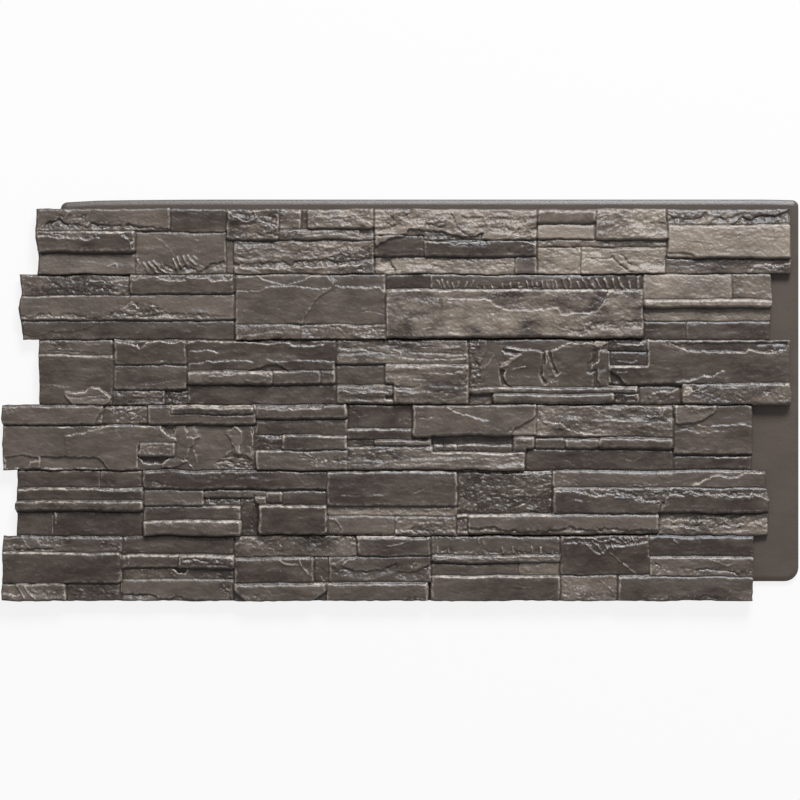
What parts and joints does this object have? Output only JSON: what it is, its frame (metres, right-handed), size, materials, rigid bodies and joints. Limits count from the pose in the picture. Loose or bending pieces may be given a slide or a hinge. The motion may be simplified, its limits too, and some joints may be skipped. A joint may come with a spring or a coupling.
{
  "type": "faux stone wall panel",
  "caption": "Lightweight moulded foam wall panel with stacked ledge stone relief, stepped interlocking ends and a nailing flange.",
  "frame": {"origin": "middle of the outline, on the flat back face", "axes": "+X along the courses towards the wide flange, +Y up the wall towards the narrow flange, +Z out of the wall, the side with the stones"},
  "size_m": [1.2442, 0.627, 0.0318],
  "materials": {
    "painted_foam": "matte"
  },
  "bodies": {
    "root": {"stone_panel": "painted_foam"}
  },
  "joints": []
}
